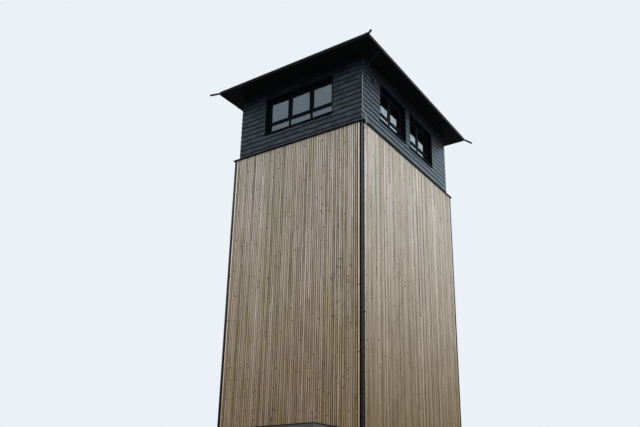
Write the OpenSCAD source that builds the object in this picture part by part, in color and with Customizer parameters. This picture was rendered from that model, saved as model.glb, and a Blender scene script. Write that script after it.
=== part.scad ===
// Fire lookout tower: a closed timber shaft with upright larch cladding, a slated
// lookout cabin with window bands on all four sides, and a wide hipped roof.
// Millimetres. Origin at the centre of the footprint, on the ground, +Z up.
// The entrance side looks along -Y.

/* [Shaft] */
// Width of the shaft outside its cladding, along X
shaft_w = 5500; // [4800:50:6400]
// Depth of the shaft outside its cladding, along Y
shaft_d = 7180; // [6600:20:8200]
// Height of the drip flashing above the ground
shaft_h = 12870; // [9000:10:15000]
// Thickness of the shaft's timber walls
shaft_wall_t = 160; // [120:10:240]
// Depth of the cladding zone outside the timber walls
clad_t = 80; // [60:5:120]
// Distance from each corner at which the cladding stops
corner_strip = 110; // [104:2:140]
// Shadow gap between the cladding and a corner post
shadow_gap = 52; // [30:1:56]
// Distance of a corner post's faces behind the cladding's face
post_setback = 12; // [5:1:16]
// Overlap of the seat behind a corner post with that post, and along the walls
seat_lap = 10; // [6:1:16]

/* [Base] */
// Height of the concrete plinth above the ground
plinth_h = 300; // [200:10:600]
// Distance of the plinth's face behind the cladding's face
plinth_setback = 30; // [10:5:70]
// Thickness of the plinth
plinth_t = 250; // [200:10:400]
// Height of the ground floor's top above the ground
ground_floor_z = 150; // [60:10:180]
// Thickness of the cabin's floor
cabin_floor_t = 220; // [160:10:300]

/* [Entrance] */
// Clear width of the doorway
door_w = 1900; // [900:20:2200]
// Clear height of the doorway above the ground floor
door_h = 2250; // [2000:10:2500]
// Width of the door frame's members
door_frame_w = 70; // [40:5:100]
// Depth of the door frame
door_frame_t = 110; // [70:5:140]
// Thickness of a door leaf
door_leaf_t = 55; // [40:5:70]
// Gap between the two leaves and round them
door_gap = 5; // [3:1:8]
// Width of the rails round a leaf's panels
door_rail = 125; // [90:5:160]
// Depth of a leaf's panels behind its rails
panel_depth = 12; // [6:1:18]
// Height of the lower panel's top edge above the ground floor
panel_z = 880; // [700:10:1100]
// Width of the canopy over the entrance
canopy_w = 4000; // [2800:50:4600]
// Distance that the canopy stands out from the cladding
canopy_d = 1350; // [900:50:1600]
// Height of the canopy's top above the ground
canopy_z = 3160; // [2900:20:3600]
// Thickness of the canopy
canopy_t = 160; // [100:10:240]
// Fall of the canopy's top from its right end to its left end, in degrees
canopy_side_fall = 1.6; // [0.6:0.1:2.4]
// Fall of the canopy's top from its outer edge to the wall, in degrees
canopy_back_fall = 1.0; // [0.4:0.1:2]
// Width of the canopy's raised edge, and depth of the recess underneath
canopy_rim = 40; // [25:5:60]
// Height of that edge above the canopy's sheet
canopy_rim_h = 24; // [10:2:40]
// Distance of the canopy's underside panel behind its edges
canopy_reveal = 60; // [40:5:100]
// Distance of each canopy bracket from the centre line
bracket_x = 1500; // [1150:25:1900]
// Distance of a bracket's outer end behind the canopy's outer edge
bracket_back = 340; // [200:10:600]
// Thickness of a canopy bracket
bracket_t = 60; // [30:5:100]
// Drop of a canopy bracket down the wall
bracket_drop = 420; // [250:10:500]
// Height of a bracket's outer end
bracket_tip = 60; // [40:5:100]
// Width of a bracket's lower end
bracket_foot = 70; // [50:5:110]

/* [Flashing] */
// Distance that the drip flashing stands out past the cladding
flash_out = 35; // [25:5:80]
// Height of the flashing's outer drip edge
flash_h = 38; // [30:2:110]
// Height that the flashing gains from its outer edge to the cabin's wall
flash_fall = 24; // [10:2:60]
// Thickness of the flashing
flash_t = 8; // [4:1:12]

/* [Cabin] */
// Distance of the cabin's walls behind the shaft's faces
cabin_inset = 145; // [120:5:260]
// Thickness of the cabin's walls, without their slates
cabin_wall_t = 290; // [240:10:360]
// Height from the flashing to the underside of the eaves
cabin_h = 2760; // [2600:10:3200]

/* [Windows] */
// Height of the window openings' lower edge above the flashing
sill_z = 820; // [600:10:1000]
// Height of the window openings
win_h = 1440; // [1000:10:1600]
// Width of the window band on the front and back
band_w = 2920; // [2400:20:3400]
// Width of each of the two windows on the left and right
pair_w = 1940; // [1500:20:2200]
// Width of the pier between those two windows
pier_w = 380; // [240:10:600]
// Distance of the glass behind the cabin wall's face
glass_setback = 168; // [140:1:200]
// Distance of the glass behind the fixed frame's face
glass_recess = 12; // [8:1:28]
// Width of the fixed frame members
member_w = 90; // [50:5:110]
// Depth of the fixed frame members
member_t = 80; // [60:5:90]
// Width of a casement's members
sash_w = 45; // [35:1:60]
// Depth of a casement's members
sash_t = 66; // [50:1:80]
// Distance of a casement's face in front of the fixed frame's face
sash_proud = 8; // [0:1:15]
// Thickness of the glass
glass_t = 24; // [12:1:30]
// Height of the transom's middle above the openings' lower edge
transom_z = 425; // [300:5:600]
// Thickness of the metal lining round an opening
lining_t = 20; // [8:1:30]
// Distance that the lining stands out from the wall's face
lining_proud = 24; // [18:1:40]
// Distance that the sill stands out from the wall's face
sill_out = 62; // [40:2:80]
// Height of the sill's front drip edge
sill_lip = 40; // [20:2:50]
// Fall of the sill from the lining to its outer edge
sill_fall = 8; // [4:1:12]
// Thickness of the sill's drip edge
sill_t = 6; // [4:1:12]
// Width of the sill beyond each side of its opening
sill_ear = 40; // [20:5:80]

/* [Roof] */
// Distance that the eaves stand out from the cabin's walls
eave_out = 678; // [400:10:900]
// Pitch of the roof slopes in degrees
roof_pitch = 22; // [16:1:30]
// Thickness of the roof slopes
roof_t = 90; // [70:5:110]
// Height of the slopes' lower edge above the gutter's rim
roof_lift = 25; // [10:1:60]
// Thickness of the ceiling over the cabin
ceiling_t = 120; // [80:10:200]
// Thickness of the soffit boards
soffit_t = 24; // [18:1:40]
// Depth of the fascia board behind the gutter
fascia_t = 32; // [24:1:50]
// Width of the square gutter
gutter_w = 110; // [90:5:150]
// Height of the square gutter
gutter_h = 114; // [100:2:150]
// Thickness of the gutter's sheet
gutter_t = 5; // [3:1:8]
// Diameter of the rolled bead along the gutter's outer edge
bead_d = 18; // [12:1:24]
// Diameter of the ridge capping
ridge_d = 130; // [90:5:150]
// Diameter of the balls where the ridge meets the hips
ridge_ball_d = 150; // [135:5:190]
// Outer diameter of a corner spout where it passes through the gutter
spout_d = 50; // [36:2:52]
// Outer diameter of the sleeve over a corner spout's outer part
sleeve_d = 72; // [60:2:84]
// Distance of the sleeve's near end from the gutter's corner
sleeve_gap = 18; // [16:1:60]
// Wall thickness of a corner spout
spout_t = 4; // [3:1:8]
// Length of a corner spout outside the gutter
spout_len = 370; // [200:10:500]
// Length of a corner spout inside the gutter
spout_in = 45; // [35:1:50]
// Height of a spout's axis above the gutter's bottom, at the gutter's corner
spout_z = 34; // [32:1:38]
// Fall of a corner spout in degrees
spout_fall = 20; // [5:1:21]

/* [Fittings] */
// Diameter of the lightning conductor
rod_d = 14; // [10:1:20]
// Diameter of the conductor's clamps
clamp_d = 26; // [22:1:36]
// Distance of the conductor from the cabin's corner
rod_offset = 25; // [20:5:150]
// Height above the flashing at which the conductor reaches the cabin's wall
rod_top = 1990; // [1500:10:2300]
// Height above the flashing's lower edge at which the conductor bends outwards
rod_bend = 540; // [450:10:700]
// Drop of the conductor from there until it is clear of the flashing
rod_slant = 330; // [200:10:400]
// Distance of the conductor's middle from the walls
rod_stand = 46; // [42:1:60]
// Distance of its upper end from the corner, beyond the lower part's, along the eaves
rod_anchor = 210; // [100:10:280]
// Gap between the flashing's edge and the coupling at the conductor's foot
rod_clear = 3; // [1:1:20]
// Distance of that foot below the flashing
rod_tail = 40; // [20:5:100]
// Diameter of the coupling at the conductor's foot
coupling_d = 34; // [30:1:44]
// Height of that coupling
coupling_h = 100; // [60:5:140]
// Width of the lamp under the eaves
lamp_w = 150; // [120:5:280]
// Height of the lamp
lamp_h = 150; // [120:5:240]
// Depth of the lamp
lamp_t = 95; // [80:5:170]
// Rise of the lamp's underside from the wall to its face
lamp_rise = 38; // [10:2:80]
// Distance of the lamp's middle from the cabin's near corner
lamp_y = 800; // [500:20:1000]
// Height of the lamp's underside above the flashing
lamp_z = 1990; // [1700:10:2300]

/* [Hidden] */
$fn = 48;
far = 20000;

core_w = shaft_w - 2 * clad_t;
core_d = shaft_d - 2 * clad_t;
floor_z = shaft_h - cabin_floor_t;
cabin_w = shaft_w - 2 * cabin_inset;
cabin_d = shaft_d - 2 * cabin_inset;
soffit_z = shaft_h + cabin_h;
eave_w = cabin_w + 2 * eave_out;
eave_d = cabin_d + 2 * eave_out;
gutter_z = soffit_z + soffit_t;
gutter_top = gutter_z + gutter_h;
board_w = eave_w - 2 * gutter_w;
board_d = eave_d - 2 * gutter_w;
roof_rise = board_w / 2 * tan(roof_pitch);
roof_run_y = board_d / 2 - board_w / 2;
roof_vert = roof_t / cos(roof_pitch);
roof_edge_z = gutter_top + roof_lift;
fascia_top = roof_edge_z + fascia_t * tan(roof_pitch) - roof_vert;
door_head_z = ground_floor_z + door_h + door_frame_w;
door_cut_w = door_w + 2 * door_frame_w;

larch_color = [0.68, 0.63, 0.56];
timber_color = [0.62, 0.50, 0.36];
slate_color = [0.20, 0.23, 0.26];
metal_color = [0.06, 0.07, 0.08];
post_color = [0.26, 0.26, 0.28];
concrete_color = [0.55, 0.55, 0.53];
glass_color = [0.45, 0.50, 0.53, 0.5];
wire_color = [0.62, 0.64, 0.66];
canopy_color = [0.36, 0.38, 0.39];

// A solid w wide, d deep and h high, centred on the Z axis, with its underside at z
module slab(w, d, h, z) {
  translate([-w / 2, -d / 2, z]) cube([w, d, h]);
}

// A closed band t thick inside the outline w by d
module band(w, d, t, h, z) {
  difference() {
    slab(w, d, h, z);
    slab(w - 2 * t, d - 2 * t, h + 2, z - 1);
  }
}

// Turns a side that is drawn at the front to the named side: its length runs along X
// and its outside faces -Y, at half the depth of that side from the middle
module on_side(side, w, d) {
  if (side == "front") translate([0, -d / 2, 0]) children();
  if (side == "back") rotate(180) translate([0, -d / 2, 0]) children();
  if (side == "right") rotate(90) translate([0, -w / 2, 0]) children();
  if (side == "left") rotate(-90) translate([0, -w / 2, 0]) children();
}

// Length of the named side of an outline w by d
function side_len(side, w, d) = (side == "front" || side == "back") ? w : d;

// What a profile in (X, Z) and the same profile in (Y, Z) have in common when each is
// drawn right across the tower: a form whose four sides meet in mitres
module mitred(half_w, half_d, low, top, rim, in_w, in_d) {
  intersection() {
    rotate([90, 0, 0])
      linear_extrude(far, center = true)
        polygon([[-half_w, low], [half_w, low], [half_w, rim], [in_w, top], [-in_w, top], [-half_w, rim]]);
    rotate([90, 0, 90])
      linear_extrude(far, center = true)
        polygon([[-half_d, low], [half_d, low], [half_d, rim], [in_d, top], [-in_d, top], [-half_d, rim]]);
  }
}

module plinth() {
  color(concrete_color)
    difference() {
      band(shaft_w - 2 * plinth_setback, shaft_d - 2 * plinth_setback, plinth_t, plinth_h, 0);
      translate([-door_cut_w / 2, -shaft_d / 2 - 1, ground_floor_z])
        cube([door_cut_w, plinth_setback + plinth_t + 2, plinth_h]);
    }
}

module ground_floor() {
  inner_w = shaft_w - 2 * plinth_setback - 2 * plinth_t;
  inner_d = shaft_d - 2 * plinth_setback - 2 * plinth_t;
  color(concrete_color)
    slab(inner_w, inner_d, ground_floor_z, 0);
}

// One timber wall of the shaft: front and back run through, left and right stand between
module shaft_wall(side) {
  through = side == "front" || side == "back";
  len = through ? core_w : core_d - 2 * shaft_wall_t;
  color(timber_color)
    on_side(side, core_w, core_d)
      difference() {
        translate([-len / 2, 0, plinth_h])
          cube([len, shaft_wall_t, floor_z - plinth_h]);
        if (side == "front")
          translate([-door_cut_w / 2, -1, plinth_h - 1])
            cube([door_cut_w, shaft_wall_t + 2, door_head_z - plinth_h + 1]);
      }
}

// One side's cladding zone, between the corner posts, from the plinth to the flashing
module larch(side) {
  len = side_len(side, shaft_w, shaft_d) - 2 * corner_strip;
  color(larch_color)
    on_side(side, shaft_w, shaft_d)
      difference() {
        translate([-len / 2, 0, plinth_h])
          cube([len, clad_t, shaft_h - plinth_h]);
        if (side == "front")
          translate([-door_cut_w / 2, -1, plinth_h - 1])
            cube([door_cut_w, clad_t + 2, door_head_z - plinth_h + 1]);
      }
}

// Square posts that close the corners between two shadow gaps, each with a seat behind it
// that fits round the corner of the walls
module corner_posts() {
  leg = corner_strip - shadow_gap - post_setback;
  post_x = shaft_w / 2 - post_setback - leg;
  post_y = shaft_d / 2 - post_setback - leg;
  seat_x = core_w / 2 - seat_lap;
  seat_y = core_d / 2 - seat_lap;
  color(post_color)
    for (sx = [-1, 1])
      for (sy = [-1, 1])
        scale([sx, sy, 1])
          difference() {
            union() {
              translate([post_x, post_y, plinth_h])
                cube([leg, leg, shaft_h - plinth_h]);
              translate([seat_x, seat_y, plinth_h])
                cube([post_x - seat_x + seat_lap, post_y - seat_y + seat_lap, shaft_h - plinth_h]);
            }
            translate([0, 0, plinth_h - 1])
              cube([core_w / 2, core_d / 2, shaft_h - plinth_h + 2]);
          }
}

// Sheet that slopes from the cabin's wall over the head of the cladding, and turns down
module drip_flashing() {
  out_w = shaft_w / 2 + flash_out;
  out_d = shaft_d / 2 + flash_out;
  rim = shaft_h + flash_h;
  color(metal_color)
    difference() {
      mitred(out_w, out_d, shaft_h, rim + flash_fall, rim, cabin_w / 2, cabin_d / 2);
      mitred(out_w - flash_t, out_d - flash_t, shaft_h - 1, rim + flash_fall - flash_t,
             rim - flash_t, cabin_w / 2, cabin_d / 2);
      slab(cabin_w, cabin_d, far, shaft_h);
    }
}

module cabin_floor() {
  color(timber_color)
    slab(core_w, core_d, cabin_floor_t, floor_z);
}

// Middles of the openings along one side
function openings(side) = (side == "front" || side == "back")
  ? [0]
  : [-(pair_w + pier_w) / 2, (pair_w + pier_w) / 2];

// Width of one opening on a side
function opening_w(side) = (side == "front" || side == "back") ? band_w : pair_w;

// Number of lights in one opening on a side
function lights(side) = (side == "front" || side == "back") ? 3 : 2;

module cabin_wall(side) {
  through = side == "front" || side == "back";
  len = through ? cabin_w : cabin_d - 2 * cabin_wall_t;
  cut_w = opening_w(side) + 2 * lining_t;
  color(slate_color)
    on_side(side, cabin_w, cabin_d)
      difference() {
        translate([-len / 2, 0, shaft_h])
          cube([len, cabin_wall_t, cabin_h]);
        for (x = openings(side))
          translate([x - cut_w / 2, -1, shaft_h + sill_z - lining_t])
            cube([cut_w, cabin_wall_t + 2, win_h + 2 * lining_t]);
      }
}

// Metal lining of the reveals, with a sloping sill that ends in a drip edge
module window_lining(side) {
  w = opening_w(side);
  z0 = shaft_h + sill_z;
  edge_z = lining_t - sill_fall;
  color(metal_color)
    on_side(side, cabin_w, cabin_d)
      for (x = openings(side)) translate([x, 0, 0]) {
        difference() {
          translate([-w / 2 - lining_t, -lining_proud, z0 - lining_t])
            cube([w + 2 * lining_t, cabin_wall_t + lining_proud, win_h + 2 * lining_t]);
          translate([-w / 2, -lining_proud - 1, z0])
            cube([w, cabin_wall_t + lining_proud + 2, win_h]);
        }
        translate([w / 2 + sill_ear, 0, z0 - lining_t])
          rotate([90, 0, -90])
            linear_extrude(w + 2 * sill_ear)
              polygon([[lining_proud, 0], [lining_proud, lining_t], [sill_out, edge_z],
                       [sill_out, edge_z - sill_lip], [sill_out - sill_t, edge_z - sill_lip],
                       [sill_out - sill_t, 0]]);
      }
}

// Fixed frame with its posts and transom, and a casement in each upper light
module window_frame(side) {
  w = opening_w(side);
  n = lights(side);
  pitch = (w - member_w) / n;
  light_w = pitch - member_w;
  z0 = shaft_h + sill_z;
  low_h = transom_z - member_w / 2 - member_w;
  up_z = transom_z + member_w / 2;
  up_h = win_h - member_w - up_z;
  frame_y = glass_setback - glass_recess;
  color(metal_color)
    on_side(side, cabin_w, cabin_d)
      for (x = openings(side)) translate([x - w / 2, 0, z0]) {
        difference() {
          translate([0, frame_y, 0]) cube([w, member_t, win_h]);
          for (i = [0 : n - 1])
            translate([member_w + i * pitch, frame_y - 1, 0]) {
              translate([0, 0, member_w]) cube([light_w, member_t + 2, low_h]);
              translate([0, 0, up_z]) cube([light_w, member_t + 2, up_h]);
            }
        }
        for (i = [0 : n - 1])
          translate([member_w + i * pitch, frame_y - sash_proud, up_z])
            difference() {
              cube([light_w, sash_t, up_h]);
              translate([sash_w, -1, sash_w])
                cube([light_w - 2 * sash_w, sash_t + 2, up_h - 2 * sash_w]);
            }
      }
}

// Panes of the lower fixed lights and of the casements
module window_glass(side) {
  w = opening_w(side);
  n = lights(side);
  pitch = (w - member_w) / n;
  light_w = pitch - member_w;
  z0 = shaft_h + sill_z;
  low_h = transom_z - member_w / 2 - member_w;
  up_z = transom_z + member_w / 2;
  up_h = win_h - member_w - up_z;
  color(glass_color)
    on_side(side, cabin_w, cabin_d)
      for (x = openings(side), i = [0 : n - 1])
        translate([x - w / 2 + member_w + i * pitch, glass_setback, z0]) {
          translate([0, 0, member_w])
            cube([light_w, glass_t, low_h]);
          translate([sash_w, 0, up_z + sash_w])
            cube([light_w - 2 * sash_w, glass_t, up_h - 2 * sash_w]);
        }
}

module ceiling() {
  color(timber_color)
    slab(cabin_w, cabin_d, ceiling_t, soffit_z);
}

// Boards under the eaves, from the cabin's walls to the gutter's outer edge
module soffit() {
  color(metal_color)
    band(eave_w - 2 * gutter_t, eave_d - 2 * gutter_t, eave_out - gutter_t, soffit_t, soffit_z);
}

// Upright board behind the gutter, under the slopes' edges
module fascia() {
  color(metal_color)
    band(board_w, board_d, fascia_t, fascia_top - gutter_z, gutter_z);
}

// Plan of one roof slope: a trapezium on the long sides, a triangle on the short ones
module slope_plan(side) {
  w = board_w / 2;
  d = board_d / 2;
  r = roof_run_y;
  if (side == "front") polygon([[-w, -d], [w, -d], [0, -r]]);
  if (side == "back") polygon([[w, d], [-w, d], [0, r]]);
  if (side == "right") polygon([[w, -d], [w, d], [0, r], [0, -r]]);
  if (side == "left") polygon([[-w, d], [-w, -d], [0, -r], [0, r]]);
}

// Everything under one slope's upper face and above its plan: level at the height base
// along an edge of the given width, and rising with the slope from there
module under_slope(side, base, edge) {
  half = (side == "front" || side == "back") ? board_d / 2 : board_w / 2;
  intersection() {
    translate([0, 0, base]) linear_extrude(far) slope_plan(side);
    on_side(side, 2 * half, 2 * half)
      translate([far / 2, 0, 0])
        rotate([90, 0, -90])
          linear_extrude(far)
            polygon([[0, base], [0, roof_edge_z],
                     [-half, roof_edge_z + half * tan(roof_pitch)],
                     [-half, base + (half - edge) * tan(roof_pitch)],
                     [-edge, base]]);
  }
}

module roof_slope(side) {
  color(slate_color)
    under_slope(side, fascia_top, fascia_t);
}

// Half-round capping along the ridge and the four hips, cut clear of the gutter
module roof_capping() {
  hip = norm([board_w / 2, board_w / 2]);
  top = roof_edge_z;
  color(metal_color)
    difference() {
      union() {
        translate([0, roof_run_y, top + roof_rise])
          rotate([90, 0, 0])
            cylinder(d = ridge_d, h = 2 * roof_run_y);
        for (sy = [-1, 1])
          translate([0, sy * roof_run_y, top + roof_rise])
            sphere(d = ridge_ball_d);
        for (sx = [-1, 1])
          for (sy = [-1, 1])
            translate([sx * board_w / 2, sy * board_d / 2, top])
              rotate([0, 90 - atan2(roof_rise, hip), atan2(-sy, -sx)])
                cylinder(d = ridge_d, h = norm([hip, roof_rise]));
      }
      for (side = ["front", "back", "left", "right"])
        under_slope(side, roof_edge_z - ridge_d, board_w);
      band(eave_w, eave_d, gutter_w, roof_lift + ridge_d, roof_edge_z - ridge_d);
    }
}

// Places what is drawn along +Z on each corner spout's axis, from inside the gutter outwards
module at_spouts() {
  inside = spout_in / sqrt(2);
  for (sx = [-1, 1])
    for (sy = [-1, 1])
      translate([sx * (eave_w / 2 - inside), sy * (eave_d / 2 - inside),
                 gutter_z + spout_z + spout_in * tan(spout_fall)])
        rotate([0, 90 + spout_fall, atan2(sy, sx)])
          children();
}

// Open square gutter round the whole roof, with a rolled bead along its outer edge
module gutter() {
  back_w = board_w + 2 * gutter_t;
  back_d = board_d + 2 * gutter_t;
  bead_z = gutter_top - bead_d / 2;
  color(metal_color)
    difference() {
      union() {
        band(eave_w, eave_d, gutter_w, gutter_t, gutter_z);
        band(eave_w, eave_d, gutter_t, gutter_h - bead_d / 2, gutter_z);
        band(back_w, back_d, gutter_t, gutter_h, gutter_z);
        for (s = [-1, 1]) {
          translate([0, s * (eave_d - bead_d) / 2, bead_z])
            rotate([0, 90, 0])
              cylinder(d = bead_d, h = eave_w, center = true);
          translate([s * (eave_w - bead_d) / 2, 0, bead_z])
            rotate([90, 0, 0])
              cylinder(d = bead_d, h = eave_d, center = true);
        }
      }
      at_spouts()
        cylinder(d = spout_d, h = spout_len);
    }
}

// Open pipes that throw the gutter's water clear of the four corners, each in a sleeve
module corner_spouts() {
  full = spout_in + spout_len;
  start = spout_in + sleeve_gap;
  color(metal_color)
    at_spouts()
      difference() {
        union() {
          cylinder(d = spout_d, h = full);
          translate([0, 0, start])
            cylinder(d = sleeve_d, h = full - start);
        }
        translate([0, 0, -1])
          cylinder(d = spout_d - 2 * spout_t, h = full + 2);
        translate([0, 0, start + spout_t])
          cylinder(d = sleeve_d - 2 * spout_t, h = full);
      }
}

// Straight round bar between two points, with a ball clamp over the first
module bar(a, b, d, clamp) {
  v = b - a;
  translate(a) {
    sphere(d = clamp, $fn = 24);
    rotate([0, acos(v.z / norm(v)), atan2(v.y, v.x)])
      cylinder(d = d, h = norm(v), $fn = 24);
  }
}

// Conductor from the eaves to the cabin's corner, down the wall and out over the flashing's
// edge, to a coupling at its foot; from there it runs out of sight behind the cladding
module lightning_conductor() {
  near_y = -cabin_d / 2 + rod_offset;
  wall_x = cabin_w / 2 + rod_stand;
  out_x = shaft_w / 2 + flash_out + rod_clear + coupling_d / 2;
  route = [
    [eave_w / 2 - gutter_w, near_y + rod_anchor, soffit_z - clamp_d / 2],
    [wall_x, near_y, shaft_h + rod_top],
    [wall_x, near_y, shaft_h + rod_bend],
    [out_x, near_y, shaft_h + rod_bend - rod_slant],
    [out_x, near_y, shaft_h - rod_tail + coupling_h / 2]
  ];
  color(wire_color) {
    for (i = [0 : len(route) - 2])
      bar(route[i], route[i + 1], rod_d, clamp_d);
    translate([out_x, near_y, shaft_h - rod_tail])
      cylinder(d = coupling_d, h = coupling_h, $fn = 24);
    for (point = [route[1], route[2]])
      translate([cabin_w / 2, point.y, point.z])
        rotate([0, 90, 0]) cylinder(d = rod_d, h = rod_stand, $fn = 24);
  }
}

// Hooded lamp under the eaves on the right-hand side
module wall_lamp() {
  color(metal_color)
    translate([cabin_w / 2, -cabin_d / 2 + lamp_y, shaft_h + lamp_z])
      rotate([90, 0, 0])
        linear_extrude(lamp_w, center = true)
          polygon([[0, 0], [lamp_t, lamp_rise], [lamp_t, lamp_h], [0, lamp_h]]);
}

module door_frame() {
  z0 = ground_floor_z;
  color(metal_color)
    on_side("front", core_w, core_d)
      difference() {
        translate([-door_cut_w / 2, 0, z0])
          cube([door_cut_w, door_frame_t, door_head_z - z0]);
        translate([-door_w / 2, -1, z0 - 1])
          cube([door_w, door_frame_t + 2, door_h + 1]);
      }
}

// Two leaves, each with a low and a high panel set back between its rails
module door_leaves() {
  leaf_w = door_w / 2 - 1.5 * door_gap;
  leaf_h = door_h - door_gap;
  panel_w = leaf_w - 2 * door_rail;
  color(metal_color)
    on_side("front", core_w, core_d)
      for (s = [-1, 1])
        translate([s * (leaf_w / 2 + door_gap / 2) - leaf_w / 2, (door_frame_t - door_leaf_t) / 2,
                   ground_floor_z])
          difference() {
            cube([leaf_w, door_leaf_t, leaf_h]);
            translate([door_rail, -1, door_rail])
              cube([panel_w, panel_depth + 1, panel_z - door_rail]);
            translate([door_rail, -1, panel_z + door_rail])
              cube([panel_w, panel_depth + 1, leaf_h - panel_z - 2 * door_rail]);
          }
}

// Turns what is drawn level, from the canopy's outer right corner to the left and to the
// wall, to the canopy's falls, and stops it at the cladding
module with_canopy_falls() {
  difference() {
    translate([canopy_w / 2, -shaft_d / 2 - canopy_d, canopy_z])
      rotate([-canopy_back_fall, -canopy_side_fall, 0])
        children();
    translate([-far / 2, -shaft_d / 2, 0])
      cube([far, far, far]);
  }
}

// Flat canopy with a raised edge on its three free sides and a panel set in underneath
module canopy_roof() {
  over = canopy_d + canopy_t;
  color(canopy_color)
    with_canopy_falls()
      difference() {
        translate([-canopy_w, 0, -canopy_t])
          cube([canopy_w, over, canopy_t]);
        translate([canopy_rim - canopy_w, canopy_rim, -canopy_rim_h])
          cube([canopy_w - 2 * canopy_rim, over, canopy_rim_h + 1]);
        translate([canopy_reveal - canopy_w, canopy_reveal, -canopy_t - 1])
          cube([canopy_w - 2 * canopy_reveal, over, canopy_rim + 1]);
      }
}

// Triangular plates that carry the canopy from the wall, trimmed to the canopy's underside
module canopy_brackets() {
  reach = canopy_d - bracket_back;
  over = canopy_d + canopy_t;
  high = canopy_t / 2;
  color(metal_color)
    difference() {
      for (s = [-1, 1])
        translate([s * bracket_x + bracket_t / 2, -shaft_d / 2,
                   canopy_z - canopy_t - (canopy_w / 2 - s * bracket_x) * tan(canopy_side_fall)])
          rotate([90, 0, -90])
            linear_extrude(bracket_t)
              polygon([[0, high], [reach, high], [reach, -bracket_tip],
                       [bracket_foot, -bracket_drop], [0, -bracket_drop]]);
      with_canopy_falls()
        translate([-2 * canopy_w, -canopy_d, -canopy_t + canopy_rim])
          cube([3 * canopy_w, 3 * over, far]);
    }
}

plinth();
ground_floor();
shaft_wall("front");  // shaft_wall_front
shaft_wall("back");  // shaft_wall_back
shaft_wall("left");  // shaft_wall_left
shaft_wall("right");  // shaft_wall_right
larch("front");  // larch_front
larch("back");  // larch_back
larch("left");  // larch_left
larch("right");  // larch_right
corner_posts();
drip_flashing();
cabin_floor();
cabin_wall("front");  // cabin_wall_front
cabin_wall("back");  // cabin_wall_back
cabin_wall("left");  // cabin_wall_left
cabin_wall("right");  // cabin_wall_right
window_lining("front");  // window_lining_front
window_lining("back");  // window_lining_back
window_lining("left");  // window_lining_left
window_lining("right");  // window_lining_right
window_frame("front");  // window_frame_front
window_frame("back");  // window_frame_back
window_frame("left");  // window_frame_left
window_frame("right");  // window_frame_right
window_glass("front");  // window_glass_front
window_glass("back");  // window_glass_back
window_glass("left");  // window_glass_left
window_glass("right");  // window_glass_right
ceiling();
soffit();
fascia();
roof_slope("front");  // roof_slope_front
roof_slope("back");  // roof_slope_back
roof_slope("left");  // roof_slope_left
roof_slope("right");  // roof_slope_right
roof_capping();
gutter();
corner_spouts();
lightning_conductor();
wall_lamp();
door_frame();
door_leaves();
canopy_roof();
canopy_brackets();
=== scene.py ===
import math
import bpy
import numpy as np
from mathutils import Matrix, Vector


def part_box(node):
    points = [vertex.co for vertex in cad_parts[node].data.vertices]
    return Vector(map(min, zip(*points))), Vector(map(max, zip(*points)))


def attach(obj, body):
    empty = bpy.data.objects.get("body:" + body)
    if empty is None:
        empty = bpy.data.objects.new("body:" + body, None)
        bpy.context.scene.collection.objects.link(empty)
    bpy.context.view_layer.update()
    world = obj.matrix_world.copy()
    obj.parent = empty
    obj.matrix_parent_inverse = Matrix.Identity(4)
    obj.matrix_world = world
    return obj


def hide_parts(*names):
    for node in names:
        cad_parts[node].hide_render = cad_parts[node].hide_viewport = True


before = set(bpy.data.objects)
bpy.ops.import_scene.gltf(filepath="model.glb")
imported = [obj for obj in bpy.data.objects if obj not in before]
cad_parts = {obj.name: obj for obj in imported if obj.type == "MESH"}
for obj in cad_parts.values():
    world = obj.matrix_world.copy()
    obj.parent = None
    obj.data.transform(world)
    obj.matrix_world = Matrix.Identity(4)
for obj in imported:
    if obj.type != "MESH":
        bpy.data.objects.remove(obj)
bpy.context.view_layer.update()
print("frame loaded:", len(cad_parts), "nodes")

# Camera of the photograph: place in the tower's frame, turn about the upright axis, tilt
# above the horizon and roll; focal length in pixels and the offset of the optical axis
photoView = {
    "place": (12.195, -19.726, 1.596),
    "turn": 0.5950,
    "tilt": 0.3289,
    "roll": 0.0189,
    "focalPixels": 650.94,
    "axisOffset": (2.5, 48.0),
    "imageWidth": 640,
    "sensorWidth": 36.0,
    "seesTo": 400,
}


def addObject(name, data):
    thing = bpy.data.objects.new(name, data)
    bpy.context.scene.collection.objects.link(thing)
    return thing


def addCamera(view):
    data = bpy.data.cameras.new("photoCamera")
    data.sensor_width = view["sensorWidth"]
    data.lens = view["focalPixels"] * view["sensorWidth"] / view["imageWidth"]
    data.shift_x = -view["axisOffset"][0] / view["imageWidth"]
    data.shift_y = view["axisOffset"][1] / view["imageWidth"]
    data.clip_end = view["seesTo"]
    turn, tilt, roll = view["turn"], view["tilt"], view["roll"]
    ahead = Vector((-math.sin(turn) * math.cos(tilt), math.cos(turn) * math.cos(tilt), math.sin(tilt)))
    level = Vector((math.cos(turn), math.sin(turn), 0))
    upward = level.cross(ahead)
    right = math.cos(roll) * level + math.sin(roll) * upward
    top = math.cos(roll) * upward - math.sin(roll) * level
    turnMatrix = Matrix((right, top, -ahead)).transposed().to_4x4()
    camera = addObject("photoCamera", data)
    camera.matrix_world = Matrix.Translation(view["place"]) @ turnMatrix
    bpy.context.scene.camera = camera


addCamera(photoView)
bpy.context.scene.view_settings.view_transform = "Standard"
print("camera placed")


def boxOf(node):
    low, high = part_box(node)
    return np.array(low), np.array(high)


# Half widths of one node across and of another along
def halfOf(across, along):
    return np.array([boxOf(across)[1][0], boxOf(along)[1][1], 0])


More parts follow.
